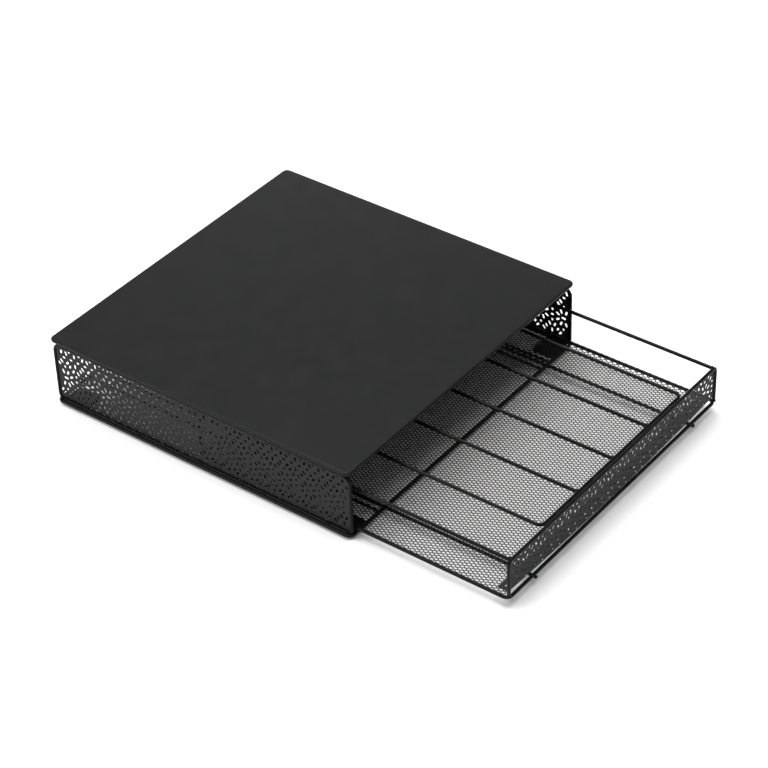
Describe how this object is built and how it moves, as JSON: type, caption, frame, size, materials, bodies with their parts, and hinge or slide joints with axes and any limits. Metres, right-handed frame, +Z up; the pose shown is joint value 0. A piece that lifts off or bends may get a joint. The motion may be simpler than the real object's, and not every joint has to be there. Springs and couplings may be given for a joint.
{
  "type": "pod drawer stand",
  "caption": "Low wire-framed stand with a flat top deck, perforated side panels and a slide-out mesh drawer divided into lanes.",
  "frame": {"origin": "middle of the footprint of the casing with the drawer part open, at table level", "axes": "+X right as seen from the front, +Y towards the back, +Z up; the drawer opens towards -Y"},
  "size_m": [0.33, 0.482, 0.071],
  "materials": {
    "deck": "matte powder coat",
    "panel": "satin powder coat",
    "wire": "satin powder coat",
    "mesh": "satin powder coat",
    "rubber_pad": "matte"
  },
  "bodies": {
    "casing": {"top_deck": "deck", "left_side_frame": "wire", "right_side_frame": "wire", "left_side_panel": "panel", "right_side_panel": "panel", "casing_base_loop": "wire", "front_deck_wire": "wire", "back_deck_wire": "wire", "left_guide_wire": "wire", "right_guide_wire": "wire", "front_left_corner_plate": "wire", "front_right_corner_plate": "wire", "back_left_corner_plate": "wire", "back_right_corner_plate": "wire", "front_left_foot_pad": "rubber_pad", "front_right_foot_pad": "rubber_pad", "back_left_foot_pad": "rubber_pad", "back_right_foot_pad": "rubber_pad"},
    "drawer": {"drawer_base_loop": "wire", "drawer_front_frame": "wire", "drawer_back_frame": "wire", "left_top_rail": "wire", "right_top_rail": "wire", "front_panel": "panel", "mesh_floor": "mesh", "divider_loop": "wire", "left_divider_wire": "wire", "centre_divider_wire": "wire", "right_divider_wire": "wire", "left_runner_wire": "wire", "right_runner_wire": "wire"}
  },
  "joints": [
    {"name": "drawer_slide", "type": "slide", "parent": "casing", "child": "drawer", "axis": [0, -1, 0], "range_m": [-0.1525, 0.162]}
  ]
}
